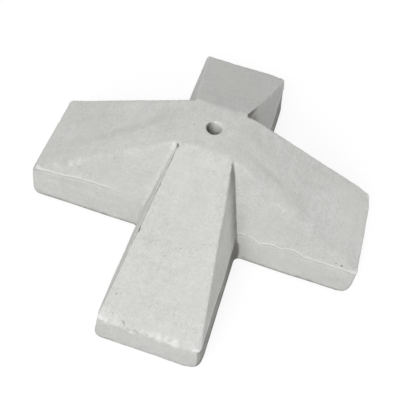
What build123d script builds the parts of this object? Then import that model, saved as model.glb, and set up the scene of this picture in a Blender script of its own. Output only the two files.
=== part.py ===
"""Cross-shaped precast concrete block: two crossing hipped bars cast in one piece, with a pin hole."""

import os
from math import atan2, cos, radians, tan

from build123d import *

# Driving dimensions, in millimetres and degrees
span = 400.0  # tip to tip of each bar, over the rounded foot
arm_width = 122.0  # width of each bar, over the rounded foot
height = 151.0  # underside to crown
edge_height = 45.0  # edge band round the outline
edge_draft = 8.0  # lean of the edge band, so that the block leaves its mould
crown_width = 57.0  # side of the square crown where the four arms meet
crease_blend = 3.0  # distance from a crease at which its soft turn starts
arch_blend = 18.0  # the same for the arched back, where the crown runs down into the arms along X
tip_radius = 10.0  # plan corners at the tips of the arms, at the foot
notch_radius = 6.0  # plan corners between the arms
foot_radius = 2.5  # round of the lower edge
hole_diameter = 16.0  # pin hole down the middle
mouth_radius = 1.0  # worn upper mouth of the pin hole

# Sizes that follow from them
draft = radians(edge_draft)
round_loss = foot_radius * (tan(draft) + 1 / cos(draft) - 1)  # reach that the foot's round takes off
foot_length = span + 2 * round_loss
foot_width = arm_width + 2 * round_loss
edge_lean = edge_height * tan(draft)
slope_rise = height - edge_height
notch_count = 4


def roof_profile(plane, half_at_band, blend):
    """Face under the two slopes that rise from the top of the edge band to the crown."""
    run = half_at_band - crown_width / 2
    half_at_ground = crown_width / 2 + run * height / slope_rise
    turn = atan2(slope_rise, run)
    with BuildSketch(plane) as profile:
        with BuildLine():
            Polyline(
                (-half_at_ground, 0),
                (-crown_width / 2, height),
                (crown_width / 2, height),
                (half_at_ground, 0),
                close=True,
            )
        make_face()
        fillet(profile.vertices().group_by(Axis.Y)[-1], blend / tan(turn / 2))
    return profile.sketch


# One bar's foot, with drafted sides and rounded corners
with BuildPart() as foot:
    with BuildSketch():
        RectangleRounded(foot_length, foot_width, tip_radius)
    extrude(amount=height, taper=edge_draft)

# One bar's roof: the long slopes to its tips and the steep slopes to its sides
with BuildPart() as roof:
    long_slopes = roof_profile(Plane.XZ, foot_length / 2 - edge_lean, crease_blend)
    extrude(long_slopes, amount=arm_width, both=True)
    side_slopes = roof_profile(Plane.YZ, foot_width / 2 - edge_lean, crease_blend)
    extrude(side_slopes, amount=span, both=True, mode=Mode.INTERSECT)

# The crossed roofs, under the arched back
with BuildPart() as crossed_roofs:
    with PolarLocations(0, 2, angular_range=180):
        add(roof.part)
    arched_back = roof_profile(Plane.XZ, foot_length / 2 - edge_lean, arch_blend)
    extrude(arched_back, amount=span, both=True, mode=Mode.INTERSECT)

# The block: the crossed feet with rounded notches, cut by the crossed roofs, and the pin hole down
# through the crown
with BuildPart() as cross_block:
    with PolarLocations(0, 2, angular_range=180):
        add(foot.part)
    upright_edges = cross_block.edges().filter_by_position(Axis.Z, height * 0.4, height * 0.6)
    fillet(upright_edges.sort_by_distance((0, 0, height / 2))[:notch_count], notch_radius)
    add(crossed_roofs.part, mode=Mode.INTERSECT)
    underside = cross_block.faces().sort_by(Axis.Z)[0]
    fillet(underside.outer_wire().edges(), foot_radius)
    Hole(hole_diameter / 2)
    mouth = cross_block.edges().filter_by(GeomType.CIRCLE).sort_by_distance((0, 0, height))[0]
    fillet(mouth, mouth_radius)

cross_block.part.label = "cross_block"
os.makedirs("parts", exist_ok=True)
export_step(cross_block.part, "parts/cross_block.step")
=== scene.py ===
"""Cross-shaped concrete block: the cast piece, worn and pinholed, on a pale studio floor."""

import itertools
import math

import bmesh
import bpy
import numpy as np
from bpy.props import FloatProperty, FloatVectorProperty, IntProperty, PointerProperty
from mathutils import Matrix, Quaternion, Vector


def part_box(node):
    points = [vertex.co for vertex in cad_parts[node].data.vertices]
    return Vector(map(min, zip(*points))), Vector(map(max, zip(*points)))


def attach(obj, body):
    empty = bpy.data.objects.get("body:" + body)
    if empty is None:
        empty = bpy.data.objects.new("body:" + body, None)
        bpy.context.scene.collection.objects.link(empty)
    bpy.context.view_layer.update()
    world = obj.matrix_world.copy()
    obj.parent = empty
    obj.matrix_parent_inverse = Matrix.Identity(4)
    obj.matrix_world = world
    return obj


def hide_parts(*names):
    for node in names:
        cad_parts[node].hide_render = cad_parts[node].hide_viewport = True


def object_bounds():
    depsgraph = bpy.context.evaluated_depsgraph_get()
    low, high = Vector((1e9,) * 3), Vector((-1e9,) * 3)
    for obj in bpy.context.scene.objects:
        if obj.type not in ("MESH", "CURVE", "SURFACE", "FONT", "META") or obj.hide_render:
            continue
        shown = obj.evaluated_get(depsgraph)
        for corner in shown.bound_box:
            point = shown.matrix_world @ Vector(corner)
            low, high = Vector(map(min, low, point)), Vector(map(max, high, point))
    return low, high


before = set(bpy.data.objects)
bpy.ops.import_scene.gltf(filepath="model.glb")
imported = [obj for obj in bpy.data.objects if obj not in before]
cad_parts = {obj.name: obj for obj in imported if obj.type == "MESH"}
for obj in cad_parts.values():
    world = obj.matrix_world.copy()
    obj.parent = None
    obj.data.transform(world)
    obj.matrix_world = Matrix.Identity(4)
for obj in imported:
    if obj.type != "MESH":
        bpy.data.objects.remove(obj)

bl_info = {
    "name": "Cross-shaped concrete block",
    "version": (1, 0, 0),
    "blender": (4, 5, 0),
    "location": "3D View > Sidebar > Block",
    "description": "Casts a cross-shaped concrete block and sets it on a studio floor",
    "category": "Object",
}

NODE = "cross_block"
CAD_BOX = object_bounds()
MM = 0.001

# Shape of the block, in millimetres, as its solid has it
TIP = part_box(NODE)[1].x / MM
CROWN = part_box(NODE)[1].z / MM
BAND = 45.0  # height of the edge band
BAND_LEAN = 6.0  # how far the band leans in from the foot to its top
BAND_TIP = TIP - BAND_LEAN  # reach of an arm at the top of its band
FOOT_SIDE = 61.0  # half the width of an arm at the foot
BAND_SIDE = FOOT_SIDE - BAND_LEAN  # half the width of an arm at the top of its band
CROWN_SIDE = 28.5  # half the width of the crown
HOLE_REACH = 13.0  # the pin hole with its mouth lies inside this radius
SLIVER = 0.00002  # edges shorter than this, in metres, are closed up


def tuft(distance, reach):
    """Soft bump: one at the middle, none from the reach outwards."""
    return np.clip(1 - (distance / reach) ** 2, 0, 1) ** 2


def step(value, low, high):
    """Smooth rise from none at low to one at high."""
    t = np.clip((value - low) / (high - low), 0, 1)
    return t * t * (3 - 2 * t)


class Grain:
    """Smooth random field in space, the same each time for the same seed."""

    TILE = 32

    def __init__(self, seed):
        self.lattice = np.random.default_rng(seed).uniform(-1, 1, (self.TILE,) * 3)

    def __call__(self, points, cell, layers=1):
        total = np.zeros(len(points))
        share = 1.0
        for layer in range(layers):
            total += share * self.one_layer(points / cell + 7.3 * layer)
            cell = cell / 2
            share = share / 2
        return total

    def one_layer(self, places):
        base = np.floor(places).astype(int)
        t = places - base
        t = t * t * (3 - 2 * t)
        total = np.zeros(len(places))
        for corner in itertools.product((0, 1), repeat=3):
            weight = np.prod(np.where(corner, t, 1 - t), axis=1)
            i, j, k = ((base + corner) % self.TILE).T
            total += weight * self.lattice[i, j, k]
        return total


class Skin:
    """Vertices of the block, in millimetres, with what the casting and wear do to them."""

    def __init__(self, mesh):
        count = len(mesh.vertices)
        flat = np.empty(count * 3, np.float32)
        mesh.vertices.foreach_get("co", flat)
        self.points = flat.reshape(-1, 3).astype(float) / MM
        ends = np.empty(len(mesh.edges) * 2, np.int32)
        mesh.edges.foreach_get("vertices", ends)
        self.edges = ends.reshape(-1, 2)
        self.links = np.bincount(ends, minlength=count)[:, None]
        flat = np.empty(count * 3, np.float32)
        mesh.vertex_normals.foreach_get("vector", flat)
        self.normals = flat.reshape(-1, 3).astype(float)

    def relaxed(self, passes):
        """The vertices after each has moved halfway to the mean of its neighbours, pass after pass."""
        points = self.points.copy()
        first, second = self.edges.T
        for _ in range(passes):
            total = np.empty_like(points)
            for axis in range(3):
                column = points[:, axis]
                total[:, axis] = np.bincount(first, column[second], len(points))
                total[:, axis] += np.bincount(second, column[first], len(points))
            points = (points + total / self.links) / 2
        return points

    def push(self, amount):
        """Move the vertices along their normals, outwards where the amount is above zero."""
        self.points += self.normals * amount[:, None]

    def near(self, place):
        return np.linalg.norm(self.points - np.array(place), axis=1)

    def write(self, mesh):
        mesh.vertices.foreach_set("co", (self.points * MM).astype(np.float32).ravel())
        mesh.update()


# The lap of cement along the top of the edge band: its arches on each arm's two sides, as the place
# along the arm, half the width and the rise of each arch
LAPS = {
    ("right", "front"): ((63, 18, 6.5), (96, 14, 4.5), (118, 15, 6.5), (160, 40, 2.4)),
    ("left", "front"): ((115, 90, 11.5),),
    ("front", "right"): ((90, 30, 3.0), (150, 50, 2.0)),
    ("front", "left"): ((100, 45, 3.5), (165, 30, 2.0)),
    ("back", "right"): ((95, 36, 3.0), (150, 28, 4.5)),
    ("back", "left"): ((80, 22, 4.0), (125, 26, 2.5), (170, 30, 3.5)),
    ("right", "back"): ((88, 30, 2.5), (140, 24, 5.0), (178, 20, 2.0)),
    ("left", "back"): ((75, 18, 4.5), (120, 34, 3.0), (168, 24, 4.0)),
}
LAP_STRETCH = {
    ("right", "front"): (10, 199),
    ("left", "front"): (60, 199),
}

# Pinholes that stand out, seen from above: place along X and Y, radius and depth
PINHOLES = (
    (-42.7, -167.6, 1.1, 1.0),
    (-38.6, -166.1, 0.9, 0.8),
    (167.8, -53.2, 1.2, 1.3),
    (174.7, -53.5, 1.5, 1.6),
    (152.3, -52.6, 1.0, 1.0),
    (104.9, -40.8, 1.2, 1.2),
    (70.0, -59.9, 1.6, 1.7),
    (29.4, 33.5, 2.8, 2.6),
    (-30.3, -32.4, 1.5, 1.4),
    (-43.0, -113.5, 1.9, 2.2),
)

# Pale rubbed patches, seen from above: place along X and Y, reach and strength
PALE_PATCHES = (
    (-48.5, -189.0, 14.0, 0.8),
    (-36.0, -191.4, 9.0, 0.75),
    (-7.0, -191.2, 6.0, 0.85),
    (4.0, -191.0, 6.5, 1.1),
    (11.0, -191.0, 6.5, 1.1),
    (18.0, -191.0, 7.0, 1.1),
    (27.5, -191.2, 7.0, 1.1),
    (39.0, -192.8, 6.0, 0.7),
    (48.5, -192.8, 7.0, 0.9),
    (-6.0, -178.0, 8.0, 0.65),
    (12.0, -181.0, 7.0, 0.55),
    (-8.0, -84.0, 9.0, 0.35),
    (-12.0, -58.0, 8.0, 0.35),
    (-33.0, -29.0, 5.0, 1.0),
    (-164.0, -48.0, 6.0, 0.8),
    (-145.0, -46.0, 6.0, 0.8),
    (-136.0, -43.0, 5.0, 0.8),
    (-126.0, -40.0, 4.0, 0.5),
    (-108.0, 29.0, 16.0, 0.4),
    (87.0, -39.0, 3.0, 0.9),
    (93.0, -40.0, 3.0, 0.9),
    (101.0, -41.0, 3.0, 0.8),
    (38.0, 150.0, 10.0, 0.4),
    (-150.0, 48.0, 8.0, 0.4),
    (120.0, 44.0, 9.0, 0.4),
)

# Streaks that the float left on the tops, lighter above zero and darker below it: place along X and Y,
# half the length and half the width, turn in degrees, and strength
FLOAT_STREAKS = (
    (-132.0, -16.0, 46.0, 10.0, 8.0, -0.40),
    (-100.0, -7.0, 42.0, 10.0, 10.0, -0.50),
    (-70.0, 0.0, 40.0, 10.0, 12.0, -0.50),
    (-50.0, 10.0, 28.0, 12.0, 12.0, -0.40),
    (-44.0, -10.0, 20.0, 10.0, 8.0, -0.35),
    (-108.0, 30.0, 32.0, 12.0, 8.0, 0.35),
    (-150.0, 18.0, 40.0, 10.0, 10.0, -0.25),
    (-168.0, -34.0, 32.0, 8.0, 8.0, -0.25),
    (44.0, 12.0, 18.0, 15.0, 0.0, -0.40),
    (55.0, -16.0, 42.0, 8.0, -9.0, -0.45),
    (88.0, -20.0, 46.0, 7.0, -9.0, -0.40),
    (64.0, 6.0, 42.0, 8.0, -6.0, -0.25),
    (165.0, 0.0, 78.0, 70.0, 0.0, 0.45),
    (-12.0, -70.0, 10.0, 34.0, 4.0, 0.20),
    (0.0, -115.0, 70.0, 110.0, 0.0, -0.25),
    (10.0, 150.0, 40.0, 24.0, 0.0, -0.20),
    (-14.0, 98.0, 30.0, 20.0, 0.0, 0.20),
)

# Chips off the edges, seen from above: place along X and Y, radius and depth
CHIPS = (
    (-29.0, -31.7, 4.8, 2.2),
    (-41.5, -109.4, 4.0, 1.8),
    (-17.4, -194.6, 3.6, 2.4),
    (-46.5, -193.4, 6.0, 1.2),
    (12.0, -193.9, 7.0, 1.0),
    (28.0, -193.9, 8.0, 1.2),
    (48.5, -193.4, 5.0, 1.3),
    (-150.0, -46.5, 3.2, 0.9),
    (-144.0, -46.0, 2.4, 0.8),
    (43.4, 118.0, 5.0, 1.3),
    (51.0, 165.0, 4.0, 1.0),
    (193.8, 30.0, 5.0, 0.8),
    (-193.8, 22.0, 5.0, 0.7),
    (-18.0, 193.8, 6.0, 0.6),
)

# The crack that runs over the front end's top edge, seen from above, point by point
CRACK = (
    (-28.0, -188.0),
    (-24.5, -192.4),
    (-17.4, -194.8),
    (-13.5, -193.0),
    (-8.6, -195.0),
)

# Foot corners that are knocked round: which way they lie along X and Y, reach and depth of the knock
KNOCKS = (
    ((198.0, -58.5), 17.0, 2.2),
    ((-198.0, -58.5), 10.0, 1.0),
    ((58.5, -198.0), 18.0, 2.2),
    ((58.5, 198.0), 20.0, 3.4),
    ((198.0, 58.5), 18.0, 2.6),
    ((-198.0, 58.5), 14.0, 1.6),
)

# Upright corners at the tips that are worn rounder: place along X and Y, reach and depth
WORN_UPRIGHTS = (
    (195.0, 56.0, 24.0, 3.6),
    (56.0, 195.0, 24.0, 3.4),
)

# The grooves down the front arm's left edge and the back arm's right edge, which lie opposite each
# other: which way they run, then distance from the middle of the block and strength there
GROOVES = (
    (-1, ((30.0, 1.0), (61.5, 1.0), (90.0, 0.95), (110.5, 0.9), (124.0, 0.3), (179.5, 0.1))),
    (1, ((30.0, 0.7), (44.0, 0.5), (62.0, 0.3), (74.0, 0.0))),
)
GROOVE_OUT = 0.7  # how far a groove lies outside its edge

# How much soil and painted shade lies in each place, from none to one
# soil with painted contact shade along the foot
FOOT_SOIL_AND_SHADE = 0.68
LEFT_TIP_SOIL = 0.42
# painted shade on the bands of the shaded right sides, towards their valleys and on the hole's left
# wall; then painted shadow with a little soil under the lap, and painted shade in the crack, the grooves
# and the pinholes
BAND_SHADE = 0.60
VALLEY_SHADE = 0.70
HOLE_SHADE = 0.70
LAP_SHADOW_AND_SOIL = 0.36
CRACK_SHADE = 0.5
GROOVE_SHADE = 1.2
PINHOLE_SHADE = 0.6

# How much painted light falls on the left valley and on the hole's right wall, and how pale the flakes
# are, from none to about one
VALLEY_LIGHT = 0.5
WALL_LIGHT = 1.2
FLAKE_PALE = 0.6

ARM_AXES = {"right": (0, 1), "left": (0, -1), "back": (1, 1), "front": (1, -1)}
SIDE_SIGNS = {"right": 1, "left": -1, "back": 1, "front": -1}


def edge_side(along):
    """Half the width of an arm's top, at a distance from the middle of the block."""
    return CROWN_SIDE + (BAND_SIDE - CROWN_SIDE) * (along - CROWN_SIDE) / (BAND_TIP - CROWN_SIDE)


def on_block(x, y):
    """Place on the block's surface under a point seen from above."""
    heights = []
    for along, across in ((abs(x), abs(y)), (abs(y), abs(x))):
        to_tip, to_side = BAND_TIP - along, BAND_SIDE - across
        if min(to_tip, to_side) < 0:
            heights.append(BAND * (1 + min(to_tip, to_side) / BAND_LEAN))
        else:
            share = min(to_tip / (BAND_TIP - CROWN_SIDE), to_side / (BAND_SIDE - CROWN_SIDE), 1)
            heights.append(BAND + (CROWN - BAND) * share)
    return np.array((x, y, max(heights)))


def along_and_across(points, arm):
    """How far each vertex lies along an arm, and across it."""
    axis, sign = ARM_AXES[arm]
    return points[:, axis] * sign, points[:, 1 - axis]


def soften_arrises(skin, grain, shape):
    """Round the arrises, some more than others, and return how far each crisp one drew back."""
    sharp = skin.points.copy()
    crisp = skin.relaxed(shape.crisp_passes)
    worn = skin.relaxed(shape.worn_passes)
    share = 0.15 + 0.25 * grain(sharp, 38.0, 2)
    front_end = tuft(np.hypot(sharp[:, 1] + BAND_TIP, sharp[:, 2] - BAND), 16.0)
    share = np.clip(share + 0.8 * front_end, 0.03, 1)[:, None]
    skin.points = crisp * (1 - share) + worn * share
    drawn_back = np.einsum("ij,ij->i", sharp - skin.points, skin.normals)
    along = np.abs(sharp[:, 0])
    fold = tuft(fold_gap(sharp), 24.0) * step(along, 34.0, 64.0) * step(BAND_TIP - along, 0.0, 26.0)
    fold = (fold * step(-sharp[:, 1], 4.0, 16.0))[:, None]
    skin.points = skin.points * (1 - fold) + skin.relaxed(shape.fold_passes) * fold
    return drawn_back * (1 - fold[:, 0])


def fold_gap(points):
    """Distance of each vertex from the soft folds that run down the two arms along X."""
    start = np.array((CROWN_SIDE, CROWN_SIDE, CROWN))
    end = np.array((BAND_TIP, BAND_SIDE, BAND))
    run = end - start
    mirrored = np.abs(points)
    part = np.clip((mirrored - start) @ run / (run @ run), 0.12, 1)
    return np.linalg.norm(mirrored - start - part[:, None] * run, axis=1)


def patches(skin, marks, grain):
    """Ragged patches seen from above, as one number for each vertex."""
    ragged = grain(skin.points, 5.0, 3)
    total = np.zeros(len(skin.points))
    for x, y, reach, strength in marks:
        away = np.hypot(skin.points[:, 0] - x, skin.points[:, 1] - y) / reach
        total = np.maximum(total, strength * step(1.1 - away + 0.3 * ragged, 0, 1.0))
    return total * step(skin.points[:, 2], BAND - 4, BAND - 1)


def float_streaks(skin, grain):
    """Lighter and darker streaks on the tops."""
    ragged = 0.25 * grain(skin.points, 6.0, 3)
    total = np.zeros(len(skin.points))
    for x, y, length, width, turn, strength in FLOAT_STREAKS:
        c, s = math.cos(math.radians(turn)), math.sin(math.radians(turn))
        dx, dy = skin.points[:, 0] - x, skin.points[:, 1] - y
        away = np.hypot((dx * c + dy * s) / length, (dy * c - dx * s) / width)
        total += strength * tuft(away + ragged, 1.0)
    return total * step(skin.normals[:, 2], 0.5, 0.75)


def valley_lines(skin):
    """How near each vertex lies to the two valleys that show at the front."""
    x, y, z = skin.points.T
    return tuft(np.abs(x) - np.abs(y), 9.0) * (y < -CROWN_SIDE) * step(z, BAND - 2, BAND + 8)


def in_hole(skin):
    """Which vertices lie on the wall of the hole, below its mouth."""
    x, y, z = skin.points.T
    return (np.hypot(x, y) < HOLE_REACH - 3) & (z < CROWN - 0.8)


def right_wall(skin):
    """The hole's wall on the right, which the light reaches."""
    return in_hole(skin) * step(skin.points[:, 0], -5, 0)


def tones_light_and_shade(skin, grain):
    """Tone of the skin: the float streaks, the crown a little darker, a darker streak along the folds
    that is partly real and partly painted shade, painted shadow under the front arm's left top edge, and
    painted light on the left sides, the front arm's right side, the front bands, the valleys and the
    hole's right wall.
    """
    x, y, z = skin.points.T
    # darker streak along the soft folds: partly a real streak, partly painted shade that evens out the
    # lit band along each fold
    folds = tuft(fold_gap(skin.points), 12.0) * step(np.abs(x), 40.0, 60.0) * step(-y, 4.0, 16.0)
    folds = folds * (0.48 + 0.20 * grain(skin.points, 20.0, 2))
    crown = (1 - step(-y, CROWN_SIDE - 2, CROWN_SIDE + 1)) * (1 - step(np.abs(x), 24.0, 50.0))
    past_crown = step(np.abs(y), CROWN_SIDE, CROWN_SIDE + 6) * (np.abs(y) > np.abs(x))
    # painted light on the left sides, on the front arm's right side and on the front bands
    left_sides = (skin.normals[:, 0] < -0.7) * past_crown
    right_side = (skin.normals[:, 0] > 0.7) * past_crown * (y < 0)
    front_bands = (skin.normals[:, 1] < -0.8) * (z < BAND - 3) * (np.abs(x) > FOOT_SIDE)
    edge = CROWN - (CROWN - BAND) * (-y - CROWN_SIDE) / (BAND_TIP - CROWN_SIDE)
    # painted shadow just under the top edge of the front arm's left side
    under_edge = left_sides * (y < 0) * tuft(z - edge + 1.5, 4.0)
    # painted light along the front valleys, on the side of the arm that faces the front
    valleys = valley_lines(skin) * (skin.normals[:, 1] < -0.6)
    lighter = left_sides + 0.65 * right_side + 0.3 * front_bands + 0.55 * valleys + right_wall(skin)
    # painted shade along the folds and under the edge, and the crown a little darker
    darker = folds + 1.4 * under_edge + 0.3 * crown * (z > CROWN - 20) * (y < CROWN_SIDE)
    return np.clip(float_streaks(skin, grain) + lighter - darker, -1, 1)


def raise_lap(skin, grain, height):
    """Raise the thin lap of cement that ends in arches along the top of the edge band, and return its
    crest, which is painted pale with a painted highlight, and the strip under it, which gets painted
    shadow.
    """
    x, y, z = skin.points.T
    ripple = 0.7 * grain(skin.points, 9.0, 2)
    amount = np.zeros(len(z))
    crest = np.zeros(len(z))
    below = np.zeros(len(z))
    for (arm, side), arches in LAPS.items():
        along, across = along_and_across(skin.points, arm)
        across = across * SIDE_SIGNS[side]
        rise = np.zeros(len(z))
        for middle, half, top in arches:
            rise = np.maximum(rise, top * np.clip(1 - ((along - middle) / half) ** 2, 0, 1))
        start, stop = LAP_STRETCH.get((arm, side), (60, 199))
        strength = step(along, start - 4, start + 0.4 * (stop - start)) * step(stop - along, -2, 3)
        above = z - (BAND - 1.0 + rise + ripple)
        lap = step(above, -0.9, 0.5) * np.exp(-np.clip(above, 0, None) / 4.5)
        under = -0.5 * tuft(above + 1.8, 2.4)
        on_side = step(across, BAND_SIDE - 9, BAND_SIDE - 5) * (across < FOOT_SIDE + 1)
        amount += (lap + under) * strength * on_side * height
        # crest of the lap: a pale cement edge, painted lighter as a highlight too
        crest = np.maximum(crest, tuft(above - 1.1, 2.3) * strength * on_side)
        # strip under the lap, for painted shadow
        below = np.maximum(below, tuft(above + 1.9, 1.9) * strength * on_side)
    skin.push(amount)
    return crest, below


def wave_faces(skin, grain, outer, height):
    """Give the float-finished faces their slight hollows and swells."""
    hollows = 0.8 * grain(skin.points, 55.0, 2) + 0.35 * grain(skin.points, 14.0, 2)
    skin.push(hollows * outer * height)


def knock_corners(skin):
    """Round the corners that have been knocked on the ground."""
    for (x, y), reach, depth in KNOCKS:
        inward = -np.sign((x, y, -1.0)) / math.sqrt(3)
        skin.points += inward * (depth * tuft(skin.near((x, y, 0.0)), reach))[:, None]
    for x, y, reach, depth in WORN_UPRIGHTS:
        away = np.hypot(skin.points[:, 0] - x, skin.points[:, 1] - y)
        inward = -np.sign((x, y, 0.0)) / math.sqrt(2)
        skin.points += inward * (depth * tuft(away, reach))[:, None]


def line_gap(points, start, end):
    """Distance of each vertex from a straight stretch, and how far along it the nearest place lies."""
    run = end - start
    part = np.clip((points - start) @ run / (run @ run), 0, 1)
    return np.linalg.norm(points - start - part[:, None] * run, axis=1), part


def cut_grooves(skin, grain, width, depth):
    """Cut the ragged grooves along two edges."""
    wander = 0.5 * grain(skin.points, 7.0, 2)
    cut = np.zeros(len(skin.points))
    for way, marks in GROOVES:
        line = [on_block(way * (edge_side(along) + GROOVE_OUT), way * along) for along, _ in marks]
        strengths = [strength for _, strength in marks]
        for start, end, first, last in zip(line, line[1:], strengths, strengths[1:]):
            gap, part = line_gap(skin.points, start, end)
            cut = np.maximum(cut, tuft(gap + wander, width) * (first + (last - first) * part))
    skin.push(-depth * cut)
    return cut


def chip_edges(skin, grain, drawn_back, outer, depth):
    """Break small flakes from the arrises, and the larger ones at their places."""
    ragged = grain(skin.points, 6.0, 3)
    arris = step(drawn_back, 0.10, 0.45)
    flakes = step(grain(skin.points, 13.0, 2) + 0.25 * ragged, 0.62, 1.0) * arris
    amount = -depth * flakes * outer
    for x, y, radius, deep in CHIPS:
        away = skin.near(on_block(x, y)) + 0.22 * radius * ragged
        amount -= deep * tuft(away, radius)
    skin.push(amount)
    return -amount


def run_crack(skin, grain, width, depth):
    """Cut the crack in the front end."""
    wander = 0.5 * grain(skin.points, 3.0)
    line = [on_block(x, y) for x, y in CRACK]
    gap = np.min([line_gap(skin.points, start, end)[0] for start, end in zip(line, line[1:])], axis=0)
    cut = tuft(gap + wander, width)
    skin.push(-depth * cut)
    return cut


def scattered_pinholes(skin, outer, count, seed):
    """Small pinholes at random places on the faces that show, as places, radii and depths."""
    random = np.random.default_rng(seed)
    open_face = np.flatnonzero((outer > 0.9) & (skin.points[:, 2] > 4))
    picked = random.choice(open_face, count, replace=False)
    radii = 0.5 + 0.6 * random.random(count) ** 2
    return [(skin.points[i], r, r) for i, r in zip(picked, radii)]


def refine_round(mesh, holes):
    """Split the edges round each pinhole, so that it comes out round."""
    work = bmesh.new()
    work.from_mesh(mesh)
    work.verts.ensure_lookup_table()
    places = np.array([v.co for v in work.verts]) / MM
    inside = np.zeros(len(places), bool)
    for place, radius, _ in holes:
        inside |= np.linalg.norm(places - np.array(place), axis=1) < 2.0 * radius + 0.8
    edges = [e for e in work.edges if inside[e.verts[0].index] and inside[e.verts[1].index]]
    bmesh.ops.subdivide_edges(work, edges=edges, cuts=2, use_grid_fill=True)
    work.to_mesh(mesh)
    work.free()
    mesh.update()


def sink_pinholes(skin, holes):
    """Sink the pinholes, each with a steep wall and a round floor."""
    amount = np.zeros(len(skin.points))
    for place, radius, depth in holes:
        inside = step(radius - skin.near(place), -0.15 * radius, 0.75 * radius)
        amount = np.maximum(amount, depth * inside)
    skin.push(-amount)
    return amount


def soil_and_shade(skin, grain):
    """Soil and painted shade: soil at the left tip, soil with painted contact shade along the foot, and
    painted shade in the corners between the arms, on the right sides of the front and back arms, towards
    their valleys and on the hole's left wall.
    """
    x, y, z = skin.points.T
    ragged = grain(skin.points, 8.0, 3)
    facing_right = skin.normals[:, 0] > 0.5
    # soil with painted contact shade along the foot
    foot = FOOT_SOIL_AND_SHADE * (1 - step(z + 2.0 * ragged, 1.5, 10.0))
    left_tip = LEFT_TIP_SOIL * tuft(skin.near((-TIP, -FOOT_SIDE, 6.0)) + 5.0 * ragged, 30.0)
    # painted shade in the corners between the arms, reaching further on the front arm's shaded right
    # side
    notch = np.hypot(np.abs(x) - FOOT_SIDE, np.abs(y) - FOOT_SIDE)
    reach = np.where(facing_right & (y < 0), 15.0, 6.0)
    not_front_left = np.maximum(step(x, -6, 6), step(y, -6, 6))
    corner = tuft(notch, reach) * (1 - step(z, 34.0, 48.0)) * not_front_left
    # painted shade on the right sides of the front and back arms: darkest on the band, near the foot and
    # towards the notch
    shaded = facing_right * step(np.abs(y), CROWN_SIDE, CROWN_SIDE + 6) * (x < FOOT_SIDE + 1)
    low = BAND_SHADE + 0.3 * tuft(np.abs(y) - FOOT_SIDE, 50.0) + 0.3 * (1 - step(z, 3, 18))
    low = (low + 0.08 * ragged) * (1 - step(z, BAND - 6, BAND + 3))
    # painted shade towards the valley on those right sides
    valley = VALLEY_SHADE * (1 - step(np.abs(y) - x, -2, 40)) + 0.06 * ragged
    # painted shade on the hole's left wall
    hole = in_hole(skin) * HOLE_SHADE * step(-x, 3, 7)
    return np.max((foot, left_tip, corner, hole, shaded * low, shaded * valley), axis=0)


def keep_inside(skin):
    """Keep every vertex inside the solid's own box."""
    low, high = (np.array(corner) / MM for corner in CAD_BOX)
    skin.points = np.clip(skin.points, low, high)


def store(mesh, name, values):
    """Keep one number for each vertex, for the finish to read."""
    layer = mesh.attributes.get(name) or mesh.attributes.new(name, "FLOAT", "POINT")
    layer.data.foreach_set("value", np.asarray(values, np.float32))


def evaluated_mesh(piece):
    """The piece's mesh after its modifiers."""
    ready = piece.evaluated_get(bpy.context.evaluated_depsgraph_get())
    return bpy.data.meshes.new_from_object(ready)


def clear_slivers(mesh):
    """Close the slivers that thinning out leaves, and drop loose flaps."""
    work = bmesh.new()
    work.from_mesh(mesh)
    bmesh.ops.remove_doubles(work, verts=work.verts, dist=SLIVER)
    bmesh.ops.dissolve_degenerate(work, edges=work.edges, dist=SLIVER)
    bmesh.ops.triangulate(work, faces=work.faces)
    flaps = [f for f in work.faces if sum(len(e.link_faces) > 1 for e in f.edges) < 2]
    bmesh.ops.delete(work, geom=flaps, context="FACES")
    bmesh.ops.recalc_face_normals(work, faces=work.faces)
    work.to_mesh(mesh)
    work.free()
    mesh.update()


class Wire:
    """A node's socket, on which Python's operators add Math nodes."""

    def __init__(self, board, socket):
        self.board = board
        self.socket = socket

    def maths(self, operation, first, second):
        return self.board.node("ShaderNodeMath", {"operation": operation}, {0: first, 1: second})

    def __add__(self, other):
        return self.maths("ADD", self, other)

    def __radd__(self, other):
        return self.maths("ADD", other, self)

    def __sub__(self, other):
        return self.maths("SUBTRACT", self, other)

    def __rsub__(self, other):
        return self.maths("SUBTRACT", other, self)

    def __mul__(self, other):
        return self.maths("MULTIPLY", self, other)

    def __rmul__(self, other):
        return self.maths("MULTIPLY", other, self)

    def __gt__(self, other):
        return self.maths("GREATER_THAN", self, other)


class Board:
    """A material's or world's node tree, to which nodes are added one call at a time."""

    def __init__(self, tree):
        self.tree = tree
        tree.nodes.clear()

    def node(self, kind, settings=None, sockets=None, out=0):
        """Add a node, set it up, fill or link its sockets, and return one of its outputs."""
        made = self.tree.nodes.new(kind)
        for name, value in (settings or {}).items():
            setattr(made, name, value)
        for name, value in (sockets or {}).items():
            if isinstance(value, Wire):
                self.tree.links.new(value.socket, made.inputs[name])
            else:
                made.inputs[name].default_value = value
        return Wire(self, made.outputs[out]) if made.outputs else None

    def noise(self, place, scale, detail=2.0, roughness=0.5):
        sockets = {"Vector": place, "Scale": scale, "Detail": detail, "Roughness": roughness}
        return self.node("ShaderNodeTexNoise", None, sockets)

    def rise(self, value, low, high):
        sockets = {"Value": value, "From Min": low, "From Max": high}
        return self.node("ShaderNodeMapRange", {"interpolation_type": "SMOOTHSTEP"}, sockets)

    def blend(self, factor, first, second):
        return self.node("ShaderNodeMix", {"data_type": "RGBA"}, {0: factor, 6: first, 7: second}, 2)

    def stretch(self, place, by):
        return self.node("ShaderNodeVectorMath", {"operation": "MULTIPLY"}, {0: place, 1: by})


def opaque(colour):
    return (*colour, 1.0)


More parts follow.
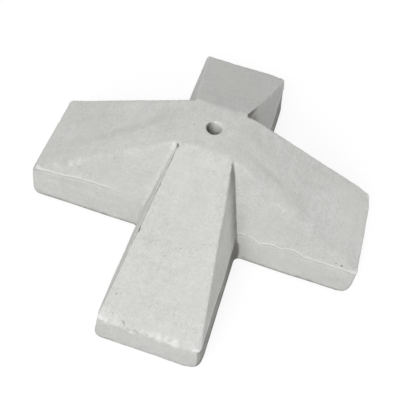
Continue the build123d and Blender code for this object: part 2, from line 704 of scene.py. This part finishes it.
def concrete(finish):
    """Cast concrete: cloudy grey, with sand grains, pores darkened with painted shade, float streaks,
    pale worn edges, painted light and shade, and dirt.
    """
    material = bpy.data.materials.new("cast_concrete")
    material.use_nodes = True
    board = Board(material.node_tree)
    place = board.node("ShaderNodeTexCoord", None, None, "Object")
    pale = board.node("ShaderNodeAttribute", {"attribute_name": "pale"}, None, "Fac")
    crest = board.node("ShaderNodeAttribute", {"attribute_name": "crest"}, None, "Fac")
    # tone holds the float streaks and painted light and shade
    tone = board.node("ShaderNodeAttribute", {"attribute_name": "tone"}, None, "Fac")
    dirt = board.node("ShaderNodeAttribute", {"attribute_name": "dirt"}, None, "Fac")

    clouds = board.noise(place, 11.0, 3.0, 0.55)
    tint = board.noise(board.stretch(place, (1.0, 1.3, 0.8)), 19.0, 2.0)
    mottle = board.noise(place, 95.0, 4.0, 0.65)
    speckle = board.noise(place, 290.0, 2.0, 0.6)
    sand = board.noise(place, 760.0, 1.0, 0.6)
    streak_along_x = board.noise(board.stretch(place, (9.0, 130.0, 60.0)), 1.0, 3.0, 0.6)
    streak_along_y = board.noise(board.stretch(place, (130.0, 9.0, 60.0)), 1.0, 3.0, 0.6)
    streaks = (streak_along_x + streak_along_y) * 0.5

    cells = {"Vector": place, "Scale": 150.0}
    pore_gap = board.node("ShaderNodeTexVoronoi", None, cells, "Distance")
    pore_kind = board.node("ShaderNodeTexVoronoi", None, cells, "Color")
    pore_pick = board.node("ShaderNodeSeparateColor", None, {"Color": pore_kind}, "Red")
    pores = (1.0 - board.rise(pore_gap, 0.05, 0.16)) * (pore_pick > 0.80)

    shade = (clouds - 0.5) * 0.5 + (mottle - 0.5) * 0.6 + (speckle - 0.5) * 0.8 + (sand - 0.5) * 1.0
    shade = shade + (streaks - 0.5) * 0.7 + tone * 0.5 + 0.5
    colour = board.blend(shade, opaque(finish.deep), opaque(finish.light))
    colour = board.blend(board.rise(tint, 0.40, 0.66) * 0.4, colour, opaque(finish.tinted))
    # pale rubbed patches, and painted light on the left valley and the hole's right wall
    frost_and_light = board.rise(pale + (board.noise(place, 520.0, 2.0, 0.7) - 0.5) * 2.2, 0.35, 1.15)
    colour = board.blend(frost_and_light * 0.45, colour, opaque(finish.pale))
    # pale lap crest with a painted highlight, and pale flakes
    ridge = board.rise(crest + (speckle - 0.5) * 0.5, 0.1, 0.8)
    colour = board.blend(ridge * 0.6, colour, opaque(finish.pale))
    # painted shade in the fine pores
    colour = board.blend(pores * 0.4, colour, opaque(finish.pore_shade))
    # soil and painted shade
    soiled_and_shaded = board.rise(dirt + (mottle - 0.5) * 0.3 + (speckle - 0.5) * 0.4, 0.1, 1.0)
    colour = board.blend(soiled_and_shaded * 0.85, colour, opaque(finish.soil_and_shade))

    height = (sand - 0.5) * 0.35 + (speckle - 0.5) * 0.6 + (mottle - 0.5) * 0.8
    height = height + (streaks - 0.5) * 0.3 - pores * 0.7
    bump = board.node("ShaderNodeBump", None, {"Strength": 0.6, "Distance": 0.001, "Height": height})
    surface = board.node(
        "ShaderNodeBsdfPrincipled",
        None,
        {
            "Base Color": colour,
            "Roughness": 0.80 + mottle * 0.2,
            "Specular IOR Level": 0.3,
            "Normal": bump,
        },
    )
    board.node("ShaderNodeOutputMaterial", None, {"Surface": surface})
    return material


def unit(name, about, default, **more):
    return FloatProperty(name=name, description=about, default=default, **more)


def count(name, about, default):
    return IntProperty(name=name, description=about, default=default)


def paint(name, about, default):
    return FloatVectorProperty(
        name=name, description=about, default=default, subtype="COLOR", min=0, max=1
    )


class CastShape(bpy.types.PropertyGroup):
    """Sizes of the casting's wear."""

    pitch: unit("Mesh pitch", "Width of the even mesh that the wear is cut into", 0.0013, unit="LENGTH")
    crisp_passes: count("Crisp passes", "Relaxing passes on crisp arrises", 3)
    worn_passes: count("Worn passes", "Relaxing passes on worn arrises", 26)
    fold_passes: count("Fold passes", "Relaxing passes on the soft folds", 90)
    waves: unit("Waves", "Height of the slight swells in the faces, in millimetres", 0.35)
    lap: unit("Lap", "Thickness of the lap above the edge band, in millimetres", 1.1)
    flakes: unit("Flakes", "Depth of the flakes off the arrises, in millimetres", 0.9)
    crack_width: unit("Crack width", "Half the width of the crack, in millimetres", 1.3)
    crack_depth: unit("Crack depth", "Depth of the crack, in millimetres", 1.8)
    groove_width: unit("Groove width", "Half the width of the groove, in millimetres", 3.4)
    groove_depth: unit("Groove depth", "Depth of the groove, in millimetres", 2.2)
    pinholes: count("Pinholes", "Number of scattered pinholes", 50)
    seed: count("Seed", "Start of the random wear", 11)
    triangles: count("Triangles", "Most triangles in the cast piece", 180000)


class ConcreteFinish(bpy.types.PropertyGroup):
    """Colours of the concrete."""

    light: paint("Light", "Light clouds of the concrete", (0.68, 0.68, 0.664))
    deep: paint("Deep", "Deep clouds of the concrete", (0.48, 0.48, 0.466))
    tinted: paint("Tinted", "Patches with a warmer cement skin", (0.575, 0.572, 0.545))
    # pale also gives the painted light on the left valley and the hole's right wall, and the painted
    # highlight on the lap's crest
    pale: paint("Pale", "Rubbed edges and broken places", (0.80, 0.80, 0.785))
    # colour of the painted shade inside the fine pores
    pore_shade: paint("Pore", "Inside of the fine pores", (0.20, 0.19, 0.17))
    # soil, and the colour of the painted shade in the corners, the hole, the crack, the grooves, the
    # pinholes and on the shaded right sides
    soil_and_shade: paint("Soil", "Soil along the foot and in the corners", (0.12, 0.112, 0.10))


class Studio(bpy.types.PropertyGroup):
    """Floor, light and camera."""

    floor: paint("Floor", "Colour of the floor", (0.92, 0.92, 0.92))
    glow: unit("Floor glow", "Share of the floor's white that no shadow reaches", 0.82, subtype="FACTOR")
    bounce: unit("Floor bounce", "Grey of the floor as the block sees it", 0.38, subtype="FACTOR")
    sky: unit("Sky", "Strength of the even light from all round", 0.24)
    front: unit("Front lamp", "Power of the wide lamp at the front", 21.2, unit="POWER")
    high: unit("High lamp", "Power of the lamp high at the front", 13.2, unit="POWER")
    left: unit("Left lamp", "Power of the lamp low on the left", 5.4, unit="POWER")
    right: unit("Right lamp", "Power of the lamp low on the right", 7.2, unit="POWER")
    back: unit("Back lamp", "Power of the lamp behind the block", 9.2, unit="POWER")
    azimuth: unit("Azimuth", "Camera's turn from the front", math.radians(9.013), subtype="ANGLE")
    elevation: unit("Elevation", "Camera's height over the floor", math.radians(60.064), subtype="ANGLE")
    roll: unit("Roll", "Camera's roll", math.radians(9.915), subtype="ANGLE")
    distance: unit("Distance", "Camera's distance", 0.6848, unit="LENGTH")
    lens: unit("Lens", "Focal length, in millimetres", 49.243)


def even_mesh(piece, pitch):
    """An even, fine mesh over the piece's own, for the wear to be cut into."""
    remesh = piece.modifiers.new("Even mesh", "REMESH")
    remesh.mode = "VOXEL"
    remesh.voxel_size = pitch
    mesh = evaluated_mesh(piece)
    piece.modifiers.clear()
    if not mesh.vertices:
        raise RuntimeError("the even mesh came out empty")
    return mesh


def wear_down(mesh, shape):
    """Wear the mesh, keep the marks with the painted light and shade for the finish to read, and return
    the pinholes still to be sunk.
    """
    grain = Grain(shape.seed)
    skin = Skin(mesh)
    drawn_back = soften_arrises(skin, grain, shape)
    x, y, z = skin.points.T
    outer = step(np.hypot(x, y), HOLE_REACH, HOLE_REACH + 4) * step(z, 0.3, 3.0)
    wave_faces(skin, grain, outer, shape.waves)
    crest, below = raise_lap(skin, grain, shape.lap)
    knock_corners(skin)
    chipped = chip_edges(skin, grain, drawn_back, outer, shape.flakes)
    cracked = run_crack(skin, grain, shape.crack_width, shape.crack_depth)
    grooved = cut_grooves(skin, grain, shape.groove_width, shape.groove_depth)
    keep_inside(skin)
    skin.write(mesh)

    left_valley = valley_lines(skin) * (skin.points[:, 0] < 0)
    # pale rubbed patches, with painted light on the left valley and the hole's right wall
    rubbed_and_lit = np.maximum(patches(skin, PALE_PATCHES, grain), VALLEY_LIGHT * left_valley)
    rubbed_and_lit = np.maximum(rubbed_and_lit, WALL_LIGHT * right_wall(skin))
    flaked = FLAKE_PALE * np.clip(chipped / 0.9, 0, 1)
    # soil, with painted shade in the corners, on the shaded sides, in the hole, the crack and the
    # grooves, and painted shadow under the lap
    dirt = soil_and_shade(skin, grain) + LAP_SHADOW_AND_SOIL * below + CRACK_SHADE * cracked + GROOVE_SHADE * grooved
    store(mesh, "pale", rubbed_and_lit * (1 - cracked))
    # pale lap crest with a painted highlight, and pale flakes
    store(mesh, "crest", np.maximum(crest, flaked) * (1 - cracked))
    store(mesh, "tone", tones_light_and_shade(skin, grain))
    store(mesh, "dirt", np.clip(dirt, 0, 1))
    holes = [(on_block(x, y), radius, depth) for x, y, radius, depth in PINHOLES]
    return holes + scattered_pinholes(skin, outer, shape.pinholes, shape.seed)


def open_pinholes(mesh, holes):
    """Sink the pinholes into the worn mesh, and darken them with painted shade."""
    refine_round(mesh, holes)
    skin = Skin(mesh)
    sunk = sink_pinholes(skin, holes)
    keep_inside(skin)
    skin.write(mesh)
    dirt = np.empty(len(mesh.vertices), np.float32)
    mesh.attributes["dirt"].data.foreach_get("value", dirt)
    store(mesh, "dirt", np.maximum(dirt, PINHOLE_SHADE * np.clip(sunk / 0.8, 0, 1)))


def thin_out(piece, most):
    """Bring the piece down to the most triangles it may have."""
    mesh = piece.data
    mesh.calc_loop_triangles()
    thin = piece.modifiers.new("Thin out", "DECIMATE")
    thin.ratio = min(1.0, most / len(mesh.loop_triangles))
    piece.data = evaluated_mesh(piece)
    piece.modifiers.clear()
    clear_slivers(piece.data)


class CROSS_OT_cast(bpy.types.Operator):
    """Cast the concrete block over its solid, with worn edges, chips and pinholes."""

    bl_idname = "cross_block.cast"
    bl_label = "Cast the block"

    def execute(self, context):
        shape = context.scene.cross_block_shape
        piece = bpy.data.objects.new("cast_block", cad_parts[NODE].data.copy())
        context.scene.collection.objects.link(piece)
        mesh = even_mesh(piece, shape.pitch)
        open_pinholes(mesh, wear_down(mesh, shape))
        piece.data = mesh
        thin_out(piece, shape.triangles)
        piece.data.name = "cast_block"
        piece.data.materials.clear()
        piece.data.materials.append(concrete(context.scene.cross_block_finish))
        piece.data.shade_smooth()
        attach(piece, "root")
        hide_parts(NODE)
        return {"FINISHED"}


# The stage, in metres: lamps as the name of their power, their place and their side
LAMPS = (
    ("front", (0.0, -2.2, 1.14), 1.6),
    ("high", (-0.2, -0.95, 1.35), 0.8),
    ("left", (-1.6, -0.1, 0.35), 1.1),
    ("right", (1.6, -0.1, 0.35), 1.1),
    ("back", (0.0, 1.3, 1.0), 1.1),
)
FLOOR_HALF = 6.0
FLOOR_DROP = 0.0002  # the floor lies this far under the foot
FADE_START = 0.4  # distance from the block at which the floor's shadow starts to fade
FADE_END = 1.2  # distance from which the floor is plain white
SHADED_LIFT = 1.2  # brings the open floor near the block up to white
CAMERA_AIM = Vector((-0.0018, 0.0003, 0.0003))
SENSOR = 36.0  # width of the camera's sensor, in millimetres
WHITE = opaque((1, 1, 1))


def pale_floor(studio):
    """Floor that the camera sees as white with a soft shadow, and the block sees as grey."""
    material = bpy.data.materials.new("studio_floor")
    material.use_nodes = True
    board = Board(material.node_tree)
    camera = board.node("ShaderNodeLightPath", None, None, "Is Camera Ray")
    glossy = board.node("ShaderNodeLightPath", None, None, "Is Glossy Ray")
    through = board.node("ShaderNodeLightPath", None, None, "Is Transmission Ray")
    seen = camera + glossy + through
    white = board.node("ShaderNodeEmission", None, {"Color": WHITE, "Strength": studio.glow})
    share = [c * (1 - studio.glow) * SHADED_LIFT for c in studio.floor]
    shadow = board.node("ShaderNodeBsdfDiffuse", None, {"Color": opaque(share)})
    both = board.node("ShaderNodeAddShader", None, {0: white, 1: shadow})
    place = board.node("ShaderNodeNewGeometry", None, None, "Position")
    away = board.node("ShaderNodeVectorMath", {"operation": "LENGTH"}, {0: place}, "Value")
    backdrop = board.node("ShaderNodeEmission", None, {"Color": WHITE, "Strength": 1.0})
    faded = board.rise(away, FADE_START, FADE_END)
    fading = board.node("ShaderNodeMixShader", None, {0: faded, 1: both, 2: backdrop})
    grey = board.node("ShaderNodeBsdfDiffuse", None, {"Color": opaque((studio.bounce,) * 3)})
    open_floor = seen * (away > HOLE_REACH * MM)
    surface = board.node("ShaderNodeMixShader", None, {0: open_floor, 1: grey, 2: fading})
    board.node("ShaderNodeOutputMaterial", None, {"Surface": surface})
    return material


def even_sky(context, studio):
    """Even light from all round, which the camera sees as white."""
    world = bpy.data.worlds.new("studio_sky")
    world.use_nodes = True
    context.scene.world = world
    board = Board(world.node_tree)
    camera = board.node("ShaderNodeLightPath", None, None, "Is Camera Ray")
    light = board.node("ShaderNodeBackground", None, {"Color": WHITE, "Strength": studio.sky})
    white = board.node("ShaderNodeBackground", None, {"Color": WHITE, "Strength": 1.0})
    surface = board.node("ShaderNodeMixShader", None, {0: camera, 1: light, 2: white})
    board.node("ShaderNodeOutputWorld", None, {"Surface": surface})


def hang_lamp(context, name, place, size, power):
    """Square soft lamp that shines at the middle of the block."""
    lamp = bpy.data.lights.new(name, "AREA")
    lamp.shape = "SQUARE"
    lamp.size = size
    lamp.energy = power
    holder = bpy.data.objects.new(name, lamp)
    holder.location = place
    holder.rotation_mode = "QUATERNION"
    holder.rotation_quaternion = (-place).to_track_quat("-Z", "Y")
    context.scene.collection.objects.link(holder)


def lay_floor(context, studio):
    """Wide pale floor under the block."""
    mesh = bpy.data.meshes.new("studio_floor")
    signs = ((-1, -1), (1, -1), (1, 1), (-1, 1))
    corners = [(sx * FLOOR_HALF, sy * FLOOR_HALF, -FLOOR_DROP) for sx, sy in signs]
    mesh.from_pydata(corners, [], [(0, 1, 2, 3)])
    mesh.materials.append(pale_floor(studio))
    floor = bpy.data.objects.new("studio_floor", mesh)
    context.scene.collection.objects.link(floor)


def set_camera(context, studio):
    """Camera at the photograph's angle, aimed near the middle of the block's foot."""
    lens = bpy.data.cameras.new("photo_camera")
    lens.sensor_width = SENSOR
    lens.lens = studio.lens
    camera = bpy.data.objects.new("photo_camera", lens)
    context.scene.collection.objects.link(camera)
    across = math.cos(studio.elevation)
    back = Vector((
        math.sin(studio.azimuth) * across,
        -math.cos(studio.azimuth) * across,
        math.sin(studio.elevation),
    ))
    camera.location = CAMERA_AIM + back * studio.distance
    camera.rotation_mode = "QUATERNION"
    level = (-back).to_track_quat("-Z", "Y")
    camera.rotation_quaternion = level @ Quaternion((0, 0, 1), studio.roll)
    context.scene.camera = camera


class CROSS_OT_stage(bpy.types.Operator):
    """Lay the pale floor, hang the soft light and set the camera."""

    bl_idname = "cross_block.stage"
    bl_label = "Set the stage"

    def execute(self, context):
        studio = context.scene.cross_block_studio
        lay_floor(context, studio)
        even_sky(context, studio)
        for name, place, size in LAMPS:
            hang_lamp(context, name + "_lamp", Vector(place), size, getattr(studio, name))
        set_camera(context, studio)
        context.scene.view_settings.view_transform = "Standard"
        return {"FINISHED"}


class CROSS_PT_panel(bpy.types.Panel):
    """Sizes, colours and steps of the block."""

    bl_idname = "CROSS_PT_panel"
    bl_label = "Cross-shaped block"
    bl_space_type = "VIEW_3D"
    bl_region_type = "UI"
    bl_category = "Block"

    def draw(self, context):
        layout = self.layout
        for group in ("cross_block_shape", "cross_block_finish", "cross_block_studio"):
            settings = getattr(context.scene, group)
            box = layout.box()
            for name in settings.bl_rna.properties.keys():
                if name not in ("rna_type", "name"):
                    box.prop(settings, name)
        layout.operator(CROSS_OT_cast.bl_idname)
        layout.operator(CROSS_OT_stage.bl_idname)


CLASSES = (CastShape, ConcreteFinish, Studio, CROSS_OT_cast, CROSS_OT_stage, CROSS_PT_panel)


def register():
    for cls in CLASSES:
        bpy.utils.register_class(cls)
    bpy.types.Scene.cross_block_shape = PointerProperty(type=CastShape)
    bpy.types.Scene.cross_block_finish = PointerProperty(type=ConcreteFinish)
    bpy.types.Scene.cross_block_studio = PointerProperty(type=Studio)


def unregister():
    del bpy.types.Scene.cross_block_studio
    del bpy.types.Scene.cross_block_finish
    del bpy.types.Scene.cross_block_shape
    for cls in reversed(CLASSES):
        bpy.utils.unregister_class(cls)


def main():
    register()
    bpy.ops.cross_block.cast()
    bpy.ops.cross_block.stage()


if __name__ == "__main__":
    main()
